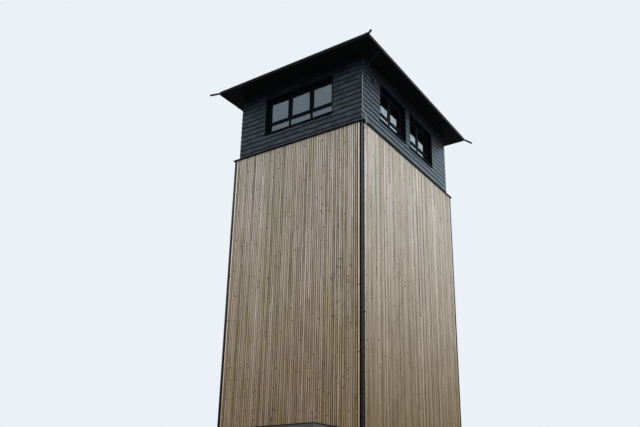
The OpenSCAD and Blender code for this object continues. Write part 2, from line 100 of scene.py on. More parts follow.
# Half widths and heights that pieces and finishes go by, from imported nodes
shaftHalf = halfOf("larch_right", "larch_back")
larchHalf = halfOf("larch_front", "larch_right")
cabinHalf = halfOf("cabin_wall_right", "cabin_wall_back")
boardHalf = halfOf("fascia", "fascia")
roomHalf = np.array([boxOf("shaft_wall_right")[0][0], boxOf("shaft_wall_back")[0][1]])
shaftTop = boxOf("larch_front")[1][2]
plinthTop = boxOf("larch_front")[0][2]
soffitLow, soffitHigh = boxOf("soffit")
flashingTop = boxOf("drip_flashing")[1][2]
gutterTop = boxOf("gutter")[1][2]
doorLow, doorHigh = boxOf("door_frame")


# Short forms for building node trees

def addNode(tree, kind, **settings):
    node = tree.nodes.new("ShaderNode" + kind)
    for key, value in settings.items():
        setattr(node, key, value)
    return node


def feed(tree, socket, value):
    if isinstance(value, bpy.types.NodeSocket):
        tree.links.new(value, socket)
    else:
        socket.default_value = value


# Feeds sockets by name; an underline in a key stands for a space
def feedAll(tree, sockets, **values):
    for key, value in values.items():
        feed(tree, sockets[key.replace("_", " ")], value)


def calc(tree, operation, first, second=None, third=None):
    node = addNode(tree, "Math", operation=operation)
    for socket, value in zip(node.inputs, (first, second, third)):
        if value is not None:
            feed(tree, socket, value)
    return node.outputs[0]


def times(tree, first, second):
    return calc(tree, "MULTIPLY", first, second)


# Value x factor + start
def linear(tree, value, factor, start):
    return calc(tree, "MULTIPLY_ADD", value, factor, start)


# Maps the span from low to high onto toLow to toHigh, and holds beyond it
def span(tree, value, low, high, toLow=0.0, toHigh=1.0, soft=True):
    node = addNode(tree, "MapRange", interpolation_type="SMOOTHSTEP" if soft else "LINEAR")
    for socket, item in zip(node.inputs, (value, low, high, toLow, toHigh)):
        feed(tree, socket, item)
    return node.outputs[0]


# A tone shaded by a value; limits are where the change begins and ends and the factors there
def shadeBy(tree, tone, value, limits):
    return times(tree, tone, span(tree, value, *limits))


# Base + depth x (value - 0.5)
def swing(tree, base, value, depth):
    return linear(tree, value, depth, calc(tree, "ADD", base, -depth / 2))


def blendColours(tree, factor, first, second, how="MIX"):
    node = addNode(tree, "Mix", data_type="RGBA", blend_type=how)
    feed(tree, node.inputs[0], factor)
    for socket, value in ((node.inputs[6], first), (node.inputs[7], second)):
        feed(tree, socket, (*value, 1) if isinstance(value, tuple) else value)
    return node.outputs[2]


def dim(tree, colour, amount):
    node = addNode(tree, "VectorMath", operation="SCALE")
    feedAll(tree, node.inputs, Vector=colour, Scale=amount)
    return node.outputs[0]


# Colours at the given values, blended in between
def coloursAt(tree, value, stops):
    first, last = min(stops), max(stops)
    node = addNode(tree, "ValToRGB")
    feed(tree, node.inputs[0], span(tree, value, first, last, soft=False))
    elements = node.color_ramp.elements
    for number, (stop, colour) in enumerate(sorted(stops.items())):
        place = (stop - first) / (last - first)
        element = elements[0] if number == 0 else elements[-1] if stop == last else elements.new(place)
        element.position = place
        element.color = (*colour, 1)
    return node.outputs["Color"]


def noiseAt(tree, place, scale, detail, roughness):
    node = addNode(tree, "TexNoise")
    feedAll(tree, node.inputs, Vector=place, Scale=scale, Detail=detail, Roughness=roughness)
    return node.outputs["Fac"]


# Noise with so many features to the metre along each axis
def streaks(tree, place, perMetre, detail=4.0, roughness=0.6):
    node = addNode(tree, "VectorMath", operation="MULTIPLY")
    feed(tree, node.inputs[0], place)
    node.inputs[1].default_value = perMetre
    return noiseAt(tree, node.outputs[0], 1.0, detail, roughness)


def objectPlace(tree):
    return addNode(tree, "TexCoord").outputs["Object"]


def planOf(tree):
    return addNode(tree, "UVMap", uv_map="plan").outputs[0]


def mark(tree, name):
    return addNode(tree, "Attribute", attribute_name=name).outputs["Fac"]


def axesOf(tree, place):
    node = addNode(tree, "SeparateXYZ")
    feed(tree, node.inputs[0], place)
    return node.outputs


def heightOf(tree):
    return axesOf(tree, objectPlace(tree))["Z"]


# Two masks, across and along: where the distance from the tower's middle passes the test
def distanceTests(tree, operation, reach):
    axes = axesOf(tree, objectPlace(tree))
    return [calc(tree, operation, calc(tree, "ABSOLUTE", axes[n]), reach[n]) for n in (0, 1)]


# A group with inputs of the kinds given; its outputs are single values
def newGroup(name, inputs, outputs):
    group = bpy.data.node_groups.new(name, "ShaderNodeTree")
    for direction, sockets in (("INPUT", inputs), ("OUTPUT", dict.fromkeys(outputs, "Float"))):
        for socketName, kind in sockets.items():
            group.interface.new_socket(name=socketName, in_out=direction, socket_type="NodeSocket" + kind)
    entry = group.nodes.new("NodeGroupInput").outputs
    leave = group.nodes.new("NodeGroupOutput").inputs
    return group, entry, leave


def useGroup(tree, group, **values):
    node = tree.nodes.new("ShaderNodeGroup")
    node.node_tree = group
    feedAll(tree, node.inputs, **values)
    return node.outputs


def newMaterial(name, **values):
    material = bpy.data.materials.new(name)
    material.use_nodes = True
    tree = material.node_tree
    shader = tree.nodes["Principled BSDF"]
    feedAll(tree, shader.inputs, **values)
    return material, tree, shader


def bumpFrom(tree, shader, height, distance, strength):
    bump = addNode(tree, "Bump")
    feedAll(tree, bump.inputs, Height=height, Distance=distance, Strength=strength)
    feedAll(tree, shader.inputs, Normal=bump.outputs[0])


# Effects that several finishes share

# Sawn grain on a plan in metres, u across a board and v along it: streaks are noise drawn
# out along v; a knot is a round cell of a Voronoi pattern, kept where the cell's own
# colour says so. Core and halo fade over a span of distances from the knot's middle, as
# shares of its radius
grainBuild = {
    "streaksPerMetre": (30, 0.9, 1),
    "streakSpan": (0.28, 0.72),
    "fibresPerMetre": (190, 3.2, 1),
    "cellsPerMetre": 8.5,
    "leastRadius": 0.09,
    "radiusSpread": 0.09,
    "core": (1.15, 0.8),
    "halo": (2.6, 1.0),
}


def makeGrainGroup(build):
    inputs, outputs = {"Plan": "Vector", "Knots": "Float"}, ("Streak", "Fibre", "Knot", "Halo")
    group, given, result = newGroup("sawnGrain", inputs, outputs)
    plan = given["Plan"]
    streak = span(group, streaks(group, plan, build["streaksPerMetre"]), *build["streakSpan"])
    fibre = streaks(group, plan, build["fibresPerMetre"], 2.0)
    cells = addNode(group, "TexVoronoi", voronoi_dimensions="2D", feature="F1")
    feedAll(group, cells.inputs, Vector=plan, Scale=build["cellsPerMetre"])
    channels = addNode(group, "SeparateColor")
    feed(group, channels.inputs[0], cells.outputs["Color"])
    picked = calc(group, "LESS_THAN", channels.outputs[0], given["Knots"])
    radius = linear(group, channels.outputs[1], build["radiusSpread"], build["leastRadius"])
    share = calc(group, "DIVIDE", cells.outputs["Distance"], radius)
    knot, halo = (times(group, span(group, share, *build[name]), picked) for name in ("core", "halo"))
    feedAll(group, result, Streak=streak, Fibre=fibre, Knot=knot, Halo=halo)
    return group


# Upright run-off streaks, broad patches and specks on whatever place is given, in metres
weatherBuild = {"runsPerMetre": (7.0, 7.0, 0.5), "patchesPerMetre": 0.9, "specksPerMetre": 38.0}


def makeWeatherGroup(build):
    inputs, outputs = {"Place": "Vector", "Scale": "Float"}, ("Runs", "Patches", "Specks")
    group, given, result = newGroup("weathering", inputs, outputs)
    place = dim(group, given["Place"], given["Scale"])
    feedAll(group, result, Runs=streaks(group, place, build["runsPerMetre"]),
            Patches=noiseAt(group, place, build["patchesPerMetre"], 4.0, 0.55),
            Specks=noiseAt(group, place, build["specksPerMetre"], 3.0, 0.65))
    return group


def weatherOf(tree, scale=1.0):
    return useGroup(tree, weatherGroup, Place=objectPlace(tree), Scale=scale)


# Riven slate: thin broken layers from noise at two scales, as a height and a tone
cleftBuild = {"broadPerMetre": 7.0, "finePerMetre": 55.0, "layers": 9.0, "fineHeight": 0.35, "broadTone": 0.6}


def makeCleftGroup(build):
    group, given, result = newGroup("rivenSlate", {"Place": "Vector"}, ("Height", "Tone"))
    broad = noiseAt(group, given["Place"], build["broadPerMetre"], 5.0, 0.6)
    fine = noiseAt(group, given["Place"], build["finePerMetre"], 3.0, 0.6)
    layers = addNode(group, "MapRange", interpolation_type="STEPPED")
    feedAll(group, layers.inputs, Value=broad, Steps=build["layers"])
    share = build["broadTone"]
    feedAll(group, result, Height=linear(group, fine, build["fineHeight"], layers.outputs[0]),
            Tone=linear(group, broad, share, times(group, fine, 1 - share)))
    return group


grainGroup = makeGrainGroup(grainBuild)
weatherGroup = makeWeatherGroup(weatherBuild)
cleftGroup = makeCleftGroup(cleftBuild)


# Larch: brown at the foot, where the ground keeps it damp, grey towards the head, and more
# so on the sides that the weather reaches (the mark "bleach"). The darkening towards the
# foot is partly weathering and partly painted shade, where less light reaches near the ground.
# Colours are by height in metres; pairs of shares are for sheltered and bleached boards
larchFinish = {
    "sheltered": {
        2.3: (0.255, 0.178, 0.100),
        5.3: (0.350, 0.275, 0.193),
        8.5: (0.440, 0.375, 0.298),
        11.7: (0.492, 0.436, 0.378),
    },
    "bleached": {
        2.3: (0.180, 0.128, 0.058),
        5.3: (0.312, 0.250, 0.172),
        8.5: (0.454, 0.397, 0.325),
        11.7: (0.562, 0.520, 0.462),
    },
    "unevenHeight": 0.8,
    "greenGrey": (0.970, 1.015, 0.955),
    "pinkGrey": (1.040, 0.982, 0.975),
    "hueShares": (0.5, 1.0),
    "oliveBand": (0.950, 0.955, 0.875),
    "rosyBand": (1.050, 1.025, 1.025),
    "bandsPerMetre": (1.6, 1.6, 0.22),
    "bandSpan": (0.36, 0.64),
    "bandShares": (1.0, 0.3),
    "streakDepth": 0.52,
    "fibreDepth": 0.40,
    "runTone": (0.3, 0.7, 0.95, 1.04),
    "grainSpan": (0.7, 1.3),
    "darkGrain": (1.035, 1.0, 0.890),
    "paleGrain": (0.972, 1.0, 1.080),
    "knotShare": 0.10,
    "knotColour": (0.050, 0.034, 0.022),
    "cover": {"Halo": 0.35, "Knot": 0.85},
    "fibreRelief": 0.5,
    "knotRelief": 0.6,
    "bump": (0.002, 0.6),
    "rough": 0.82,
    "shine": 0.25,
}


# The first share in shelter, the second where the weather bleaches, blended in between
def byShelter(tree, shares):
    return linear(tree, mark(tree, "bleach"), shares[1] - shares[0], shares[0])


def makeLarch(look):
    material, tree, shader = newMaterial(
        "weatheredLarch", Roughness=look["rough"], Specular_IOR_Level=look["shine"])
    grain = useGroup(tree, grainGroup, Plan=planOf(tree), Knots=look["knotShare"])
    weather = weatherOf(tree)
    height = swing(tree, heightOf(tree), weather["Patches"], look["unevenHeight"])
    # Colours by height: the darker foot is partly weathering and partly painted shade
    byHeight = [coloursAt(tree, height, look[name]) for name in ("sheltered", "bleached")]
    colour = blendColours(tree, mark(tree, "bleach"), *byHeight)
    hue = blendColours(tree, mark(tree, "tint"), look["greenGrey"], look["pinkGrey"])
    colour = blendColours(tree, byShelter(tree, look["hueShares"]), colour, hue, "MULTIPLY")
    bands = streaks(tree, objectPlace(tree), look["bandsPerMetre"], 3.0, 0.5)
    band = blendColours(tree, span(tree, bands, *look["bandSpan"]), look["oliveBand"], look["rosyBand"])
    colour = blendColours(tree, byShelter(tree, look["bandShares"]), colour, band, "MULTIPLY")
    tone = swing(tree, mark(tree, "tone"), grain["Streak"], look["streakDepth"])
    tone = swing(tree, tone, grain["Fibre"], look["fibreDepth"])
    tone = shadeBy(tree, tone, weather["Runs"], look["runTone"])
    depth = blendColours(tree, span(tree, tone, *look["grainSpan"]), look["darkGrain"], look["paleGrain"])
    colour = dim(tree, blendColours(tree, 1.0, colour, depth, "MULTIPLY"), tone)
    for effect, cover in look["cover"].items():
        colour = blendColours(tree, times(tree, grain[effect], cover), colour, look["knotColour"])
    feedAll(tree, shader.inputs, Base_Color=colour)
    relief = linear(tree, grain["Fibre"], look["fibreRelief"], times(tree, grain["Knot"], look["knotRelief"]))
    bumpFrom(tree, shader, relief, *look["bump"])
    return material


# Slate: blue-grey, each slate with a tone of its own (the mark "tone"), darker with dirt and
# painted shade where the course above laps it and with a painted highlight at its foot (the
# mark "rise"), with sheen on the cleft faces. Under the eaves the wall's slates carry painted
# shade, darker and with less sheen, and the roof's don't
slateFinish = {
    "colour": (0.0105, 0.0165, 0.0240),
    "rough": (0.3, 0.7, 0.30, 0.48),
    "shine": 0.425,
    "cleftDepth": 0.7,
    "patchTone": (0.3, 0.7, 0.85, 1.12),
    "lapShadeAndDirt": (0.62, 0.86, 1.0, 0.05),
    "footHighlight": (0.03, 0.10, 2.0, 1.0),
    "eavesShadow": (14.85, 15.40, 1.0, 0.55),
    "roofSpan": (15.65, 15.70),
    "bump": (0.0022, 0.7),
}


def makeSlate(look):
    material, tree, shader = newMaterial("rivenSlate")
    height = heightOf(tree)
    onRoof = span(tree, height, *look["roofSpan"])
    # Painted shade under the eaves: on the wall's slates the colour and sheen fall towards the soffit
    eavesShade = calc(tree, "MAXIMUM", span(tree, height, *look["eavesShadow"]), onRoof)
    cleft = useGroup(tree, cleftGroup, Place=planOf(tree))
    tone = swing(tree, mark(tree, "tone"), cleft["Tone"], look["cleftDepth"])
    tone = shadeBy(tree, tone, weatherOf(tree)["Patches"], look["patchTone"])
    # Dirt and painted shade under the lap of the course above, and a painted highlight along each slate's
    # foot
    for limits in (look["lapShadeAndDirt"], look["footHighlight"]):
        tone = shadeBy(tree, tone, mark(tree, "rise"), limits)
    feedAll(tree, shader.inputs, Base_Color=dim(tree, look["colour"], times(tree, tone, eavesShade)),
            Roughness=span(tree, cleft["Tone"], *look["rough"]),
            Specular_IOR_Level=times(tree, eavesShade, look["shine"]))
    bumpFrom(tree, shader, cleft["Height"], *look["bump"])
    return material


# Coated or galvanised sheet and bars, a flat tone broken by dust, run-off and specks: the
# colour, the dust's colour, roughness and shine
metalFinishes = {
    "blackSheet": ((0.004, 0.004, 0.005), (0.012, 0.012, 0.012), 0.50, 0.06),
    "frameCoat": ((0.004, 0.006, 0.008), (0.009, 0.010, 0.011), 0.56, 0.03),
    "postSheet": ((0.080, 0.078, 0.078), (0.110, 0.107, 0.102), 0.60, 0.12),
    "wireZinc": ((0.440, 0.460, 0.475), (0.300, 0.300, 0.290), 0.55, 0.20),
    "canopySheet": ((0.062, 0.058, 0.058), (0.085, 0.082, 0.078), 0.55, 0.30),
    "screwSteel": ((0.110, 0.105, 0.100), (0.060, 0.050, 0.040), 0.45, 0.50),
    "lampCase": ((0.006, 0.006, 0.008), (0.020, 0.020, 0.020), 0.50, 0.20),
}
metalWear = {
    "scale": 1.6,
    "runs": (0.48, 0.78),
    "specks": (0.55, 0.80, 0.0, 0.5),
    "patches": (0.3, 0.7),
    "dustRough": 0.3,
    "bump": (0.004, 0.15),
}


def makeMetal(name, look, wear):
    clean, dusty, rough, shine = look
    material, tree, shader = newMaterial(name, Specular_IOR_Level=shine)
    weather = weatherOf(tree, wear["scale"])
    runs = span(tree, weather["Runs"], *wear["runs"])
    specks = span(tree, weather["Specks"], *wear["specks"])
    dust = shadeBy(tree, calc(tree, "MAXIMUM", runs, specks), weather["Patches"], wear["patches"])
    colour = blendColours(tree, dust, clean, dusty)
    # Painted shade for the metals that have it: the corner posts and the conductor
    if name in shadeOfMetal:
        colour = dim(tree, colour, shadeOfMetal[name](tree))
    feedAll(tree, shader.inputs, Base_Color=colour, Roughness=linear(tree, dust, wear["dustRough"], rough))
    bumpFrom(tree, shader, weather["Patches"], *wear["bump"])
    return material


# Painted shade on the corner posts: they grow dark towards the ground, and behind their
# faces, in the gaps, they are almost black
postShade = {"rise": (4.0, 12.5, 0.15, 1.0), "seat": 0.05, "face": 0.060}


def shadePosts(tree):
    reach = boxOf("corner_posts")[1] - postShade["face"]
    behind = times(tree, *distanceTests(tree, "LESS_THAN", reach))
    seat = span(tree, behind, 0.0, 1.0, 1.0, postShade["seat"])
    return times(tree, seat, span(tree, heightOf(tree), *postShade["rise"], soft=False))


# The conductor's colour darkens towards the eaves as painted shade under them, and above
# its top holder it is almost black
wireShade = {"rise": (14.60, 14.92, 1.0, 0.012)}


def shadeWire(tree):
    return span(tree, heightOf(tree), *wireShade["rise"])


shadeOfMetal = {"postSheet": shadePosts, "wireZinc": shadeWire}


# Window glass: two panes make four faces, which mirror about as much light as one sheet of
# a higher index. Panes on the left and right mirror less, and in a warmer tone: a painted
# reflection, the same glass made to stand in for the light those sides mirror
glassFinishes = {
    "endGlass": {"index": 2.10, "mirrorTint": (1.0, 1.0, 1.0)},
    "sideGlass": {"index": 1.77, "mirrorTint": (1.0, 0.84, 0.72)},
}
glassFilm = {
    "clear": (0.60, 0.67, 0.70),
    "dusty": (0.50, 0.54, 0.55),
    "runs": (0.45, 0.8, 0.0, 0.35),
    "rough": 0.05,
}


def makeGlass(name, look, film):
    material, tree, shader = newMaterial(
        name, Roughness=0.0, IOR=look["index"], Transmission_Weight=1.0,
        Specular_Tint=(*look["mirrorTint"], 1))
    dust = span(tree, weatherOf(tree)["Runs"], *film["runs"])
    feedAll(tree, shader.inputs, Base_Color=blendColours(tree, dust, film["clear"], film["dusty"]),
            Roughness=times(tree, dust, film["rough"]))
    return material


# Boards and plain timber, with level grain and a tone by plank: the darkest and lightest
# colours, roughness and shine
timberFinishes = {
    # The soffit's near black is partly the boards' dark stain and partly painted shade under the eaves
    "soffitStainAndShade": ((0.0040, 0.0042, 0.0045), (0.0075, 0.0078, 0.0080), 0.85, 0.05),
    "innerTimber": ((0.075, 0.064, 0.052), (0.110, 0.095, 0.078), 0.70, 0.1),
    "railTimber": ((0.080, 0.062, 0.045), (0.130, 0.102, 0.075), 0.80, 0.2),
    "doorStain": ((0.020, 0.022, 0.024), (0.034, 0.036, 0.038), 0.50, 0.4),
}
timberGrain = {
    "linesPerMetre": (9.0, 9.0, 60.0),
    "planksPerMetre": (0.4, 0.4, 6.0),
    "plankShare": 0.5,
    "toneSpan": (0.35, 0.65),
    "roughRise": 0.15,
    "roughFall": 0.07,
    "bump": (0.0015, 0.4),
}


def makeTimber(name, look, grain):
    dark, light, rough, shine = look
    material, tree, shader = newMaterial(name, Specular_IOR_Level=shine)
    lines = streaks(tree, objectPlace(tree), grain["linesPerMetre"])
    planks = streaks(tree, objectPlace(tree), grain["planksPerMetre"], 2.0, 0.5)
    tone = linear(tree, planks, grain["plankShare"], times(tree, lines, 1 - grain["plankShare"]))
    colour = blendColours(tree, span(tree, tone, *grain["toneSpan"]), dark, light)
    feedAll(tree, shader.inputs, Base_Color=colour,
            Roughness=linear(tree, lines, grain["roughRise"], rough - grain["roughFall"]))
    bumpFrom(tree, shader, lines, *grain["bump"])
    return material


# Shaft and cabin walls and the floor between them: dark breather felt outside, where it
# shows between the battens, boards inside. They change at a small depth in the shaft's
# walls, from the room, and that is within the cabin's walls too
feltFinish = {
    "felt": (0.0110, 0.0070, 0.0042),
    "board": (0.095, 0.080, 0.065),
    "depth": 0.010,
    "planksPerMetre": (0.5, 0.5, 8.0),
    "plankTone": (0.3, 0.7, 0.75, 1.15),
    "wrinklesPerMetre": 5.0,
    "wrinkleTone": (0.3, 0.7, 0.7, 1.3),
    "bump": (0.004, 0.3),
    "rough": 0.85,
    "shine": 0.1,
}


def makeFeltedWall(look):
    material, tree, shader = newMaterial(
        "feltedWall", Roughness=look["rough"], Specular_IOR_Level=look["shine"])
    outside = calc(tree, "MAXIMUM", *distanceTests(tree, "GREATER_THAN", roomHalf + look["depth"]))
    planks = streaks(tree, objectPlace(tree), look["planksPerMetre"], 3.0, 0.55)
    board = dim(tree, look["board"], span(tree, planks, *look["plankTone"]))
    wrinkles = noiseAt(tree, objectPlace(tree), look["wrinklesPerMetre"], 3.0, 0.5)
    felt = dim(tree, look["felt"], span(tree, wrinkles, *look["wrinkleTone"]))
    feedAll(tree, shader.inputs, Base_Color=blendColours(tree, outside, board, felt))
    bumpFrom(tree, shader, wrinkles, *look["bump"])
    return material


# Cast concrete: run-off bands, pores and damp that rises unevenly from the ground
concreteFinish = {
    "colour": (0.330, 0.325, 0.305),
    "damp": (0.170, 0.165, 0.150),
    "dampSpan": (-0.20, 0.12, 1.0, 0.0),
    "unevenDamp": 0.35,
    "scale": 1.2,
    "poresPerMetre": 60.0,
    "poreTone": (0.30, 0.42, 0.55, 1.0),
    "runTone": (0.3, 0.7, 0.88, 1.08),
    "bump": (0.002, 0.5),
    "rough": 0.85,
}


def makeConcrete(look):
    material, tree, shader = newMaterial("castConcrete", Roughness=look["rough"])
    weather = weatherOf(tree, look["scale"])
    height = linear(tree, weather["Patches"], -look["unevenDamp"], heightOf(tree))
    damp = span(tree, height, *look["dampSpan"])
    pores = noiseAt(tree, objectPlace(tree), look["poresPerMetre"], 2.0, 0.5)
    pores = span(tree, pores, *look["poreTone"])
    tone = shadeBy(tree, pores, weather["Runs"], look["runTone"])
    colour = blendColours(tree, damp, look["colour"], look["damp"])
    feedAll(tree, shader.inputs, Base_Color=dim(tree, colour, tone))
    bumpFrom(tree, shader, pores, *look["bump"])
    return material


larch = makeLarch(larchFinish)
slate = makeSlate(slateFinish)
metals = {name: makeMetal(name, look, metalWear) for name, look in metalFinishes.items()}
timbers = {name: makeTimber(name, look, timberGrain) for name, look in timberFinishes.items()}
glass = {name: makeGlass(name, look, glassFilm) for name, look in glassFinishes.items()}
felted = makeFeltedWall(feltFinish)
concrete = makeConcrete(concreteFinish)
print("finishes made")


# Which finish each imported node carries, by how the nodes' names begin
finishNodes = [
    (concrete, "plinth", "ground_floor"),
    (felted, "shaft_wall", "cabin_floor", "cabin_wall", "roof_slope"),
    (larch, "larch"),
    (timbers["innerTimber"], "ceiling"),
    (timbers["soffitStainAndShade"], "soffit", "fascia"),
    (timbers["doorStain"], "door_leaves"),
    (metals["blackSheet"], "drip_flashing", "roof_capping", "gutter", "corner_spouts", "canopy_brackets"),
    (metals["frameCoat"], "window_lining", "window_frame", "door_frame"),
    (metals["postSheet"], "corner_posts"),
    (metals["wireZinc"], "lightning_conductor"),
    (metals["lampCase"], "wall_lamp"),
    (metals["canopySheet"], "canopy_roof"),
    (glass["endGlass"], "window_glass_front", "window_glass_back"),
    (glass["sideGlass"], "window_glass_left", "window_glass_right"),
]
for finish, *families in finishNodes:
    for nodeName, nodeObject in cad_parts.items():
        if nodeName.startswith(tuple(families)):
            nodeObject.data.materials.clear()
            nodeObject.data.materials.append(finish)
print("nodes finished")


# Sides of the tower: the direction along each one, seen from outside from left to right,
# and the direction out of it
sides = {
    "front": (np.array([1.0, 0, 0]), np.array([0, -1.0, 0])),
    "right": (np.array([0, 1.0, 0]), np.array([1.0, 0, 0])),
    "back": (np.array([-1.0, 0, 0]), np.array([0, 1.0, 0])),
    "left": (np.array([0, -1.0, 0]), np.array([-1.0, 0, 0])),
}
upward = np.array([0, 0, 1.0])


def halfAlong(side, half):
    return abs(sides[side][0] @ half)


# Point s along a side, o outside the face at the half widths given, at height z
def onSide(side, half, s, o, z):
    along, out = sides[side]
    s, o, z = np.broadcast_arrays(s, o, z)
    reach = abs(out @ half) + o
    return s[..., None] * along + reach[..., None] * out + z[..., None] * upward


# Columns of values, single or arrays, spread to one shape and laid side by side
def rowsOf(*columns):
    return np.stack(np.broadcast_arrays(*columns), axis=-1)


# Closed prisms, each from a ring of k corners to a second ring; a row holds a corner's
# place and then its other values. Ring A has to turn anticlockwise seen from outside, so
# where the sum of its corners' cross products points towards ring B both rings reverse
def prisms(ringA, ringB):
    count, k, width = ringA.shape
    place = ringA[:, :, :3]
    normal = np.cross(place, np.roll(place, -1, axis=1)).sum(axis=1)
    across = ringB[:, :, :3].mean(axis=1) - place.mean(axis=1)
    wrong = (normal * across).sum(axis=1) > 0
    order = np.where(wrong[:, None], np.arange(k)[::-1], np.arange(k))[:, :, None]
    rings = np.concatenate([np.take_along_axis(ring, order, 1) for ring in (ringA, ringB)], axis=1)
    first = np.arange(count)[:, None] * 2 * k
    i = np.arange(k)
    j = np.roll(i, -1)
    quads = first[:, :, None] + np.stack([j, i, i + k, j + k], axis=-1)
    ends = np.concatenate([first + i, first + k + i[::-1]])
    return rings.reshape(-1, width), quads.reshape(-1, 4).tolist() + ends.tolist()


# Several pairs of rows and faces as one pair
def joined(*parts):
    starts = np.cumsum([0] + [len(rows) for rows, _ in parts]).tolist()
    faces = [[corner + start for corner in face] for start, part in zip(starts, parts) for face in part[1]]
    return np.concatenate([rows for rows, _ in parts]), faces


# Puts rows and faces into a mesh: columns 0 to 2 are the place, then u and v in metres if
# there are more, then one column for each mark
def makePiece(name, rows, faces, material, slotName, replaced=(), marks=()):
    mesh = bpy.data.meshes.new(name)
    mesh.from_pydata(rows[:, :3].tolist(), [], faces)
    if rows.shape[1] > 3:
        corner = np.empty(len(mesh.loops), dtype=np.int32)
        mesh.loops.foreach_get("vertex_index", corner)
        mesh.uv_layers.new(name="plan").data.foreach_set("uv", rows[corner, 3:5].astype(np.float32).ravel())
    for number, label in enumerate(marks):
        values = rows[:, 5 + number].astype(np.float32)
        mesh.attributes.new(label, "FLOAT", "POINT").data.foreach_set("value", values)
    mesh.materials.append(material)
    mesh.validate()
    piece = addObject(name, mesh)
    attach(piece, "root")
    if replaced:
        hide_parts(*replaced)


# Rectangles in rows of s0, s1, z0, z1 and other values, with one opening taken out of
# them: what is left of each beside the opening, under it and over it
def cutAround(rects, opening, smallest):
    s0, s1, z0, z1 = opening
    hit = (rects[:, 1] > s0) & (rects[:, 0] < s1) & (rects[:, 3] > z0) & (rects[:, 2] < z1)
    parts = [rects[~hit]] + [rects[hit].copy() for _ in range(4)]
    leftOf, rightOf, under, over = parts[1:]
    leftOf[:, 1] = np.minimum(leftOf[:, 1], s0)
    rightOf[:, 0] = np.maximum(rightOf[:, 0], s1)
    for middle in (under, over):
        middle[:, 0] = np.maximum(middle[:, 0], s0)
        middle[:, 1] = np.minimum(middle[:, 1], s1)
    under[:, 3] = np.minimum(under[:, 3], z0)
    over[:, 2] = np.maximum(over[:, 2], z1)
    rects = np.concatenate(parts)
    return rects[(rects[:, 1] - rects[:, 0] > smallest) & (rects[:, 3] - rects[:, 2] > smallest)]


# Larch battens: upright boards with narrow gaps, butt-jointed at staggered heights
battenBuild = {
    "seed": 11,
    "pitch": 0.0765,
    "gap": 0.026,
    "gapJitter": 0.40,
    "edgeJitter": 0.0070,
    "thickness": 0.027,
    "chamfer": 0.0025,
    "unevenDepth": 0.003,
    "boardLengths": (3.2, 4.8),
    "shortest": 0.30,
    "buttGap": 0.003,
    "toneSpread": {"front": 0.17, "back": 0.18, "left": 0.19, "right": 0.17},
    "toneLimits": (-0.42, 0.36),
    "neighbours": 5,
    "boardSpread": 0.09,
    "tintBeta": 2.2,
    "grainRange": 60,
    "cornerHighlight": 0.60,
    "cornerGap": 0.014,
    "cornerInset": {"front": 0.004, "back": 0.004, "left": 0.030, "right": 0.030},
    "bleach": {"front": 0.0, "back": 0.35, "left": 0.35, "right": 1.0},
    "headGap": 0.018,
    "railStart": 0.20,
    "railPitch": 0.60,
    "railHeight": 0.048,
    "railDepth": 0.045,
    "railInset": 0.030,
    "railHeadroom": 0.1,
    "shortestRail": 0.02,
}


# Middles of the level rails behind the battens
def railHeights(build):
    lowest, highest = plinthTop + build["railStart"], shaftTop - build["railHeadroom"]
    return np.arange(lowest, highest, build["railPitch"]) + build["railHeight"] / 2


# Columns of boards as rows of s0, s1, z0, z1; boards meet end to end on a rail, and the
# next board takes the place of one that would be too short
def battenRects(side, build, rng):
    reach = halfAlong(side, larchHalf) - build["cornerInset"][side]
    columns = round(2 * reach / build["pitch"])
    edges = np.linspace(-reach, reach, columns + 1)
    edges[1:-1] += rng.uniform(-1, 1, columns - 1) * build["edgeJitter"]
    fromEdge = build["gap"] / 2 * (1 + rng.uniform(-1, 1, (2, columns)) * build["gapJitter"])
    s0, s1 = edges[:-1] + fromEdge[0], edges[1:] - fromEdge[1]
    s0[1] += build["cornerGap"]
    s1[-2] -= build["cornerGap"]
    low = np.full(columns, plinthTop)
    if side == "front":
        low[np.abs(s0 + s1) / 2 < doorHigh[0]] = doorHigh[2] + build["headGap"]
    length = rng.uniform(*build["boardLengths"], columns)[:, None]
    start = plinthTop - rng.uniform(0, 1, columns)[:, None] * length
    number = np.arange(int(shaftTop / build["boardLengths"][0]) + 3)[None, :]
    rail = railHeights(build)[0]
    joints = rail + np.round((start + number * length - rail) / build["railPitch"]) * build["railPitch"]
    joints[:, 0] = plinthTop
    top = shaftTop - build["headGap"]
    z0 = np.maximum(joints[:, :-1], low[:, None])
    z1 = np.minimum(joints[:, 1:] - build["buttGap"], top)
    short = (z1 > z0) & (z1 - z0 < build["shortest"])
    atHead = short & (z1 == top)
    atFoot = short & ~atHead
    z0[:, 1:] = np.where(atFoot[:, :-1], z0[:, :-1], z0[:, 1:])
    z1[:, :-1] = np.where(atHead[:, 1:], top, z1[:, :-1])
    rects = rowsOf(s0[:, None], s1[:, None], z0, z1).reshape(-1, 4)
    return rects[rects[:, 3] - rects[:, 2] > build["shortest"]]


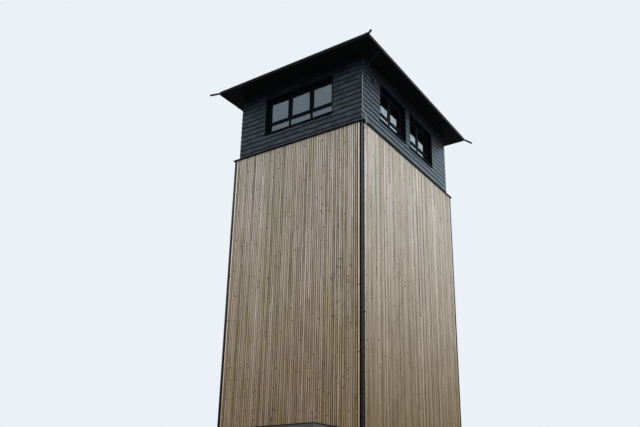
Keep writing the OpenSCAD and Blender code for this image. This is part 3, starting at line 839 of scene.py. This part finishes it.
# A batten is an eight-cornered profile, the rectangle with its edges taken off, carried
# from its foot to its head. Its tone is 1 + its column's + its own: the column's has the
# mean of its neighbours' taken off, so that no broad patch forms. On its plan, u runs on
# round its edges by half the depth, and every board has its own stretch of the grain
def makeBattens(side, build, number):
    rng = np.random.default_rng(build["seed"] + number)
    rects = battenRects(side, build, rng)
    count = len(rects)
    c, t = build["chamfer"], build["thickness"]
    inset = np.array([c, 0, 0, c, -c, 0, 0, -c])
    fromRight = np.array([0, 0, 0, 0, 1, 1, 1, 1])
    depth = np.array([-t, c - t, -c, 0, 0, -c, c - t, -t])
    s = rects[:, :1] + (rects[:, 1:2] - rects[:, :1]) * fromRight + inset
    o = depth - rng.uniform(0, build["unevenDepth"], (count, 1))
    shift = rng.uniform(0, build["grainRange"], (count, 2))
    column = np.unique(rects[:, 0], return_inverse=True)[1].ravel()
    ofColumn = rng.normal(0, build["toneSpread"][side], column.max() + 1)
    ofColumn -= np.convolve(ofColumn, np.full(build["neighbours"], 1 / build["neighbours"]), "same")
    ofColumn = ofColumn.clip(*build["toneLimits"])
    tone = 1 + ofColumn[column, None] + rng.normal(0, build["boardSpread"], (count, 1))
    # Painted highlight: the boards at the corners are made paler where the corners catch the light
    atCorner = np.abs(rects[:, :2]).max(axis=1) > halfAlong(side, larchHalf) - build["pitch"]
    tone[atCorner] = 1 + build["cornerHighlight"]
    tint = rng.beta(build["tintBeta"], build["tintBeta"], (count, 1))
    rings = []
    for z in (rects[:, 3:4], rects[:, 2:3]):
        values = rowsOf(s + 0.5 * o + shift[:, :1], z + shift[:, 1:], tone, tint, build["bleach"][side])
        rings.append(np.concatenate([onSide(side, shaftHalf, s, o, z), values], axis=-1))
    marks = ("tone", "tint", "bleach")
    makePiece("battens_" + side, *prisms(*rings), larch, "larch", ["larch_" + side], marks)
    return np.concatenate([rects, o.max(axis=1, keepdims=True)], axis=1)


# Boxes on a side, from rows of s0, s1, inner and outer o, z0, z1
def boxesOn(side, half, rects):
    s = rects[:, [0, 1, 1, 0]]
    z = rects[:, [4, 4, 5, 5]]
    return prisms(*(onSide(side, half, s, rects[:, column:column + 1], z) for column in (3, 2)))


# Rails that carry the battens off the felt
def makeRails(side, build):
    z = railHeights(build)
    reach = halfAlong(side, larchHalf) - build["cornerInset"][side] - build["railInset"]
    half = build["railHeight"] / 2
    rects = rowsOf(-reach, reach, z - half, z + half)
    if side == "front":
        rects = cutAround(rects, (doorLow[0], doorHigh[0], 0, doorHigh[2]), build["shortestRail"])
    outer = -build["thickness"] - build["unevenDepth"]
    rects = rowsOf(*rects[:, :2].T, outer - build["railDepth"], outer, *rects[:, 2:].T)
    makePiece("rails_" + side, *boxesOn(side, shaftHalf, rects), timbers["railTimber"], "timber")


# Screws: one through each board at every rail and near both ends, as flat six-sided heads
screwBuild = {"radius": 0.0045, "stand": 0.0008, "fromEnd": 0.03, "sides": 6}


def makeScrews(side, boards, build):
    rails = railHeights(battenBuild)[None, :]
    low, high = boards[:, 2:3] + build["fromEnd"], boards[:, 3:4] - build["fromEnd"]
    heights = np.concatenate([low, high, np.where((rails > low) & (rails < high), rails, np.nan)], axis=1)
    board, place = np.nonzero(~np.isnan(heights))
    angle = np.arange(build["sides"]) * 2 * math.pi / build["sides"]
    s = boards[board, :2].mean(axis=1, keepdims=True) + build["radius"] * np.cos(angle)
    z = heights[board, place][:, None] + build["radius"] * np.sin(angle)
    rings = [onSide(side, shaftHalf, s, boards[board, 4:5] + o, z) for o in (build["stand"], -build["stand"])]
    makePiece("screws_" + side, *prisms(*rings), metals["screwSteel"], "wire")
    return len(board)


battenCount, screwCount = 0, 0
for sideNumber, sideName in enumerate(sides):
    sideBoards = makeBattens(sideName, battenBuild, sideNumber)
    battenCount += len(sideBoards)
    screwCount += makeScrews(sideName, sideBoards, screwBuild)
    makeRails(sideName, battenBuild)
print("cladding laid:", battenCount, "boards,", screwCount, "screws")


# Slates in level courses. Each hangs from its head and stands proud at its foot, so its
# outer face lies at proud - lean x (height above the course's line)
slateBuild = {
    "seed": 31,
    "exposure": 0.190,
    "lap": 0.045,
    "width": 0.25,
    "firstOverrun": 0.3,
    "joint": 0.004,
    "edgeJitter": 0.010,
    "footJitter": 0.010,
    "proud": 0.034,
    "lean": 0.120,
    "thickness": 0.012,
    "cornerLap": 0.018,
    "toneSpread": 0.50,
    "toneLimits": (-0.75, 0.9),
    "footGap": 0.004,
    "headGap": 0.002,
    "raggedness": 0.010,
    "grainRange": 40,
    "leastCourse": 0.02,
    "narrowest": 0.03,
    "smallestCut": 0.012,
}


# Heights of the courses' lines
def courseLines(low, top, build):
    return np.arange(low, top - build["leastCourse"], build["exposure"])


# Rows of s0, s1, z0, z1 and the course's own line, from -reach to +reach, every second
# course half a slate along; reach may differ from course to course. The first overrun is
# the share of a slate's width that the row starts outside the end
def slateRects(reach, lines, top, build, rng):
    columns = int(2 * reach.max() / build["width"]) + 3
    parity = (np.arange(len(lines)) % 2)[:, None] * 0.5
    edges = (np.arange(columns + 1)[None, :] - parity - build["firstOverrun"]) * build["width"] - reach.max()
    edges = edges + rng.uniform(-1, 1, edges.shape) * build["edgeJitter"]
    limit = reach[:, None]
    s0 = np.clip(edges[:, :-1] + build["joint"] / 2, -limit, limit)
    s1 = np.clip(edges[:, 1:] - build["joint"] / 2, -limit, limit)
    line = np.broadcast_to(lines[:, None], s0.shape)
    z0 = line + rng.uniform(-1, 1, s0.shape) * build["footJitter"]
    z1 = np.minimum(line + build["exposure"] + build["lap"], top)
    rects = rowsOf(s0, s1, z0, z1, line).reshape(-1, 5)
    return rects[rects[:, 1] - rects[:, 0] > build["narrowest"]]


# Two rings of six corners for each slate: the foot in three short broken edges, then the head
def slateRings(rects, build, rng, place):
    count = len(rects)
    s0, s1, z0, z1, line = (rects[:, n:n + 1] for n in range(5))
    share = np.array([0, 0.3, 0.7, 1, 1, 0])
    atHead = np.array([0, 0, 0, 0, 1, 1])
    s = s0 + (s1 - s0) * share
    z = z0 + (z1 - z0) * atHead + (1 - atHead) * rng.uniform(-0.5, 0.5, (count, 6)) * build["raggedness"]
    shift = rng.uniform(0, build["grainRange"], (count, 2))
    tone = 1 + rng.normal(0, build["toneSpread"], (count, 1)).clip(*build["toneLimits"])
    rings = []
    for back in (0.0, build["thickness"]):
        o = build["proud"] - build["lean"] * (z - line) - back
        values = rowsOf(s + shift[:, :1], z + shift[:, 1:], tone, (z - line) / build["exposure"])
        rings.append(np.concatenate([place(s, o, z), values], axis=-1))
    return rings


# Openings in a cabin wall as s0, s1, z0, z1, with their metal linings
windowBuild = {"pier": 0.38, "lining": 0.020, "gap": 0.003}


def wallOpenings(side):
    low, high = boxOf("window_frame_" + side)
    reach = abs(sides[side][0] @ high)
    grow = windowBuild["lining"] + windowBuild["gap"]
    middle = windowBuild["pier"] / 2
    spans = [(-reach, reach)] if side in ("front", "back") else [(-reach, -middle), (middle, reach)]
    return [(s0 - grow, s1 + grow, low[2] - grow, high[2] + grow) for s0, s1 in spans]


def makeWallSlates(side, build, number):
    rng = np.random.default_rng(build["seed"] + number)
    top = soffitLow[2] - build["headGap"]
    lines = courseLines(flashingTop + build["footGap"], top, build)
    turn = 0 if side in ("front", "back") else 1
    overlaps = (np.arange(len(lines)) % 2 == turn) * build["cornerLap"]
    rects = slateRects(halfAlong(side, cabinHalf) + overlaps, lines, top, build, rng)
    for opening in wallOpenings(side):
        rects = cutAround(rects, opening, build["smallestCut"])
    rings = slateRings(rects, build, rng, lambda s, o, z: onSide(side, cabinHalf, s, o, z))
    makePiece("wall_slates_" + side, *prisms(*rings), slate, "slate", marks=("tone", "rise"))
    return len(rects)


# On a roof slope s runs along the eaves, z up the slope and o square out of it; the plane
# rises at the pitch from the boards' edge, a little over the gutter, and a hip takes as
# much off each end as the point lies in from the eaves
roofBuild = {
    "seed": 51,
    "pitch": math.radians(22),
    "lift": 0.025,
    "overhang": 0.045,
    "ridgeGap": 0.02,
    "hipRoom": 0.02,
}


def makeRoofSlates(side, build, roof, number):
    rng = np.random.default_rng(roof["seed"] + number)
    slope, rise = math.cos(roof["pitch"]), math.sin(roof["pitch"])
    eavesHeight = gutterTop + roof["lift"]
    top = boardHalf[0] / slope - roof["ridgeGap"]
    lines = courseLines(-roof["overhang"], top, build)
    reach = np.full(len(lines), halfAlong(side, boardHalf) + roof["overhang"])
    rects = slateRects(reach, lines, top, build, rng)

    def place(s, o, z):
        limit = np.maximum(halfAlong(side, boardHalf) - z * slope, 0.0)
        inward = -z * slope + o * rise
        return onSide(side, boardHalf, np.clip(s, -limit, limit), inward, eavesHeight + z * rise + o * slope)

    footLimit = halfAlong(side, boardHalf) - rects[:, 2] * slope - roof["hipRoom"]
    rects = rects[(rects[:, 0] < footLimit) & (rects[:, 1] > -footLimit)]
    rings = slateRings(rects, build, rng, place)
    makePiece("roof_slates_" + side, *prisms(*rings), slate, "slate", marks=("tone", "rise"))
    return len(rects)


slateCount = 0
for sideNumber, sideName in enumerate(sides):
    slateCount += makeWallSlates(sideName, slateBuild, sideNumber)
    slateCount += makeRoofSlates(sideName, slateBuild, roofBuild, sideNumber)
print("slates hung:", slateCount)


# Soffit: boards along each side, each a six-cornered section, the rectangle with its lower
# edges taken off, carried from mitre to mitre
soffitBuild = {"boards": 6, "joint": 0.003, "chamfer": 0.006}


def makeSoffit(build):
    width = (soffitHigh[0] - cabinHalf[0]) / build["boards"]
    inner = np.arange(build["boards"])[:, None] * width + build["joint"] / 2
    outer = inner + width - build["joint"]
    c = build["chamfer"]
    o = np.concatenate([inner, inner, inner + c, outer - c, outer, outer], axis=1)
    drop = np.array([1, 0, 0, 0, 0, 1]) * (soffitHigh[2] - soffitLow[2]) + np.array([0, c, 0, 0, c, 0])
    z = np.broadcast_to(soffitLow[2] + drop, o.shape)
    parts = []
    for side in sides:
        reach = halfAlong(side, cabinHalf) + o
        parts.append(prisms(*(onSide(side, cabinHalf, end * reach, o, z) for end in (-1, 1))))
    makePiece("soffit_boards", *joined(*parts), timbers["soffitStainAndShade"], "dark_boards", ["soffit"])


makeSoffit(soffitBuild)
print("soffit boarded")


# Covers over the joints in the gutter and in the drip flashing, folded round their faces;
# the flashing rises by its fall from its edge to the wall
coverBuild = {
    "spacing": 2.1,
    "gutterWidth": 0.09,
    "beadRoom": 0.020,
    "flashWidth": 0.12,
    "flashFall": 0.024,
    "stand": 0.002,
}


# Middles of covers that divide a length evenly
def coverPlaces(length, spacing):
    count = max(1, round(length / spacing) - 1)
    return (np.arange(count) + 1) / (count + 1) * length - length / 2


def makeGutterCovers(side, build):
    low, high = boxOf("gutter")
    middle = coverPlaces(2 * halfAlong(side, high), build["spacing"])
    half, stand = build["gutterWidth"] / 2, build["stand"]
    rects = rowsOf(middle - half, middle + half, -stand, stand, low[2], high[2] - build["beadRoom"])
    makePiece("gutter_covers_" + side, *boxesOn(side, high, rects), metals["blackSheet"], "dark_metal")


# A cover's outline across the flashing: up its drip edge and back along its slope
def makeFlashingCovers(side, build):
    low, high = boxOf("drip_flashing")
    middle = coverPlaces(2 * halfAlong(side, high), build["spacing"])[:, None]
    depth = abs(sides[side][1] @ (high - cabinHalf))
    rim = high[2] - build["flashFall"]
    t = build["stand"]
    o = np.array([t, t, -depth, -depth, 0, 0])
    z = np.array([low[2], rim + t, high[2] + t, high[2], rim, low[2]])
    rings = [onSide(side, high, middle + end * build["flashWidth"] / 2, o, z) for end in (-1, 1)]
    makePiece("flashing_covers_" + side, *prisms(*rings), metals["blackSheet"], "dark_metal")


for sideName in sides:
    makeGutterCovers(sideName, coverBuild)
    makeFlashingCovers(sideName, coverBuild)
print("joint covers folded")


# Pull bars on the door's leaves, on two stand-offs each, and kick plates
doorBuild = {
    "pullFromMiddle": 0.085,
    "pullSpan": (0.85, 1.45),
    "pullRadius": 0.014,
    "pullSides": 8,
    "pullStand": 0.055,
    "standOffInset": 0.07,
    "kickWidth": 0.80,
    "kickSpan": (0.18, 0.33),
    "kickThickness": 0.002,
}


def makeDoorFittings(build):
    low, high = boxOf("door_leaves")
    face = abs(low[1])
    angle = np.arange(build["pullSides"]) * 2 * math.pi / build["pullSides"]
    r, middle = build["pullRadius"], np.array([[-1], [1]]) * build["pullFromMiddle"]
    half = np.array([0, face, 0])
    z0, z1 = build["pullSpan"]
    s, o = middle + r * np.cos(angle), build["pullStand"] + r * np.sin(angle)
    bars = prisms(*(onSide("front", half, s, o, z) for z in (z0, z1)))
    s = np.tile(middle[:, 0], 2)
    z = np.repeat([z0 + build["standOffInset"], z1 - build["standOffInset"]], 2)
    posts = rowsOf(s - r / 2, s + r / 2, 0, build["pullStand"], z - r / 2, z + r / 2)
    leaf = np.array([-1, 1]) * (high[0] - low[0]) / 4
    halfKick = build["kickWidth"] / 2
    plates = rowsOf(leaf - halfKick, leaf + halfKick, 0, build["kickThickness"], *build["kickSpan"])
    boxes = boxesOn("front", half, np.concatenate([posts, plates]))
    makePiece("door_fittings", *joined(bars, boxes), metals["wireZinc"], "wire")


makeDoorFittings(doorBuild)


# Folded metal edge on the canopy's rim, which follows the canopy's falls
canopyBuild = {
    "sideFall": math.radians(1.6),
    "backFall": math.radians(1.0),
    "thickness": 0.160,
    "height": 0.030,
    "stand": 0.002,
    "cover": 0.045,
    "depthShare": 0.995,
}


# The front run is an L-shaped profile carried from the right-hand end to the left-hand one,
# and the two end runs are carried from it back towards the wall
def makeCanopyEdge(build):
    low, high = boxOf("canopy_roof")
    sideFall, backFall = build["sideFall"], build["backFall"]
    turn = np.array(Matrix.Rotation(-sideFall, 3, "Y") @ Matrix.Rotation(-backFall, 3, "X"))
    lean = build["thickness"] * np.array([-math.sin(sideFall), math.sin(backFall), 0])
    corner = np.array([high[0], low[1], high[2]]) + lean
    width, depth = 2 * corner[0], -corner[1] - shaftHalf[1]
    t, drop, cover = build["stand"], build["height"], build["cover"]
    inward = np.array([-t, -t, cover, cover, 0, 0])
    z = np.array([-drop, t, t, 0, 0, -drop])
    runs = [[rowsOf(x, inward, z) for x in (t, -width - t)]]
    for x in (-inward, inward - width):
        runs.append([rowsOf(x, y, z) for y in (cover, depth * build["depthShare"])])
    rings = [np.stack([run[end] for run in runs]) @ turn.T + corner for end in (0, 1)]
    makePiece("canopy_edge", *prisms(*rings), metals["blackSheet"], "dark_metal")


makeCanopyEdge(canopyBuild)
print("door and canopy fitted")


# Floor and light. The light is stronger from over the right-hand back corner; what panes
# and metal mirror is more even and bluer, and what the camera sees behind is plain and pale
stageBuild = {
    "floorSize": 300.0,
    "floorSeen": (0.370, 0.385, 0.400),
    "floorBounce": (0.08, 0.08, 0.075),
    "lightColour": (0.97, 0.99, 1.03),
    "lightLevel": 1.95,
    "lightByRise": (0.0, 1.0, 0.25, 1.6),
    "lightGradient": 0.32,
    "mirrorColour": (0.92, 1.13, 1.33),
    "mirrorGradient": 0.50,
    "brightSide": (0.7071, 0.7071, 0.0),
    "background": (0.83, 0.88, 0.93),
}


def addFloor(build):
    half = build["floorSize"] / 2
    corners = [(-half, -half, 0), (half, -half, 0), (half, half, 0), (-half, half, 0)]
    mesh = bpy.data.meshes.new("floor")
    mesh.from_pydata(corners, [], [(0, 1, 2, 3)])
    material, tree, shader = newMaterial("floorPaint", Roughness=0.9, Specular_IOR_Level=0.0)
    rays = addNode(tree, "LightPath").outputs
    seen = calc(tree, "MAXIMUM", rays["Is Camera Ray"], rays["Is Glossy Ray"])
    seen = calc(tree, "MAXIMUM", seen, rays["Is Transmission Ray"])
    colour = blendColours(tree, seen, build["floorBounce"], build["floorSeen"])
    feedAll(tree, shader.inputs, Base_Color=colour)
    mesh.materials.append(material)
    floor = addObject("floor", mesh)


def addLight(build):
    world = bpy.data.worlds.new("softLight")
    bpy.context.scene.world = world
    world.use_nodes = True
    tree = world.node_tree
    rays = addNode(tree, "LightPath").outputs
    direction = addNode(tree, "TexCoord").outputs["Generated"]
    towards = addNode(tree, "VectorMath", operation="DOT_PRODUCT")
    feed(tree, towards.inputs[0], direction)
    towards.inputs[1].default_value = build["brightSide"]
    across = towards.outputs["Value"]
    byRise = span(tree, axesOf(tree, direction)["Z"], *build["lightByRise"], soft=False)
    lit = times(tree, byRise, linear(tree, across, build["lightGradient"], 1.0))
    lightSeen = dim(tree, build["lightColour"], times(tree, lit, build["lightLevel"]))
    mirrorSeen = dim(tree, build["mirrorColour"], linear(tree, across, build["mirrorGradient"], 1.0))
    mirrored = calc(tree, "MAXIMUM", rays["Is Glossy Ray"], rays["Is Transmission Ray"])
    light = blendColours(tree, mirrored, lightSeen, mirrorSeen)
    backdrop = blendColours(tree, rays["Is Camera Ray"], light, build["background"])
    feed(tree, tree.nodes["Background"].inputs["Color"], backdrop)


addFloor(stageBuild)
addLight(stageBuild)
print("stage set")
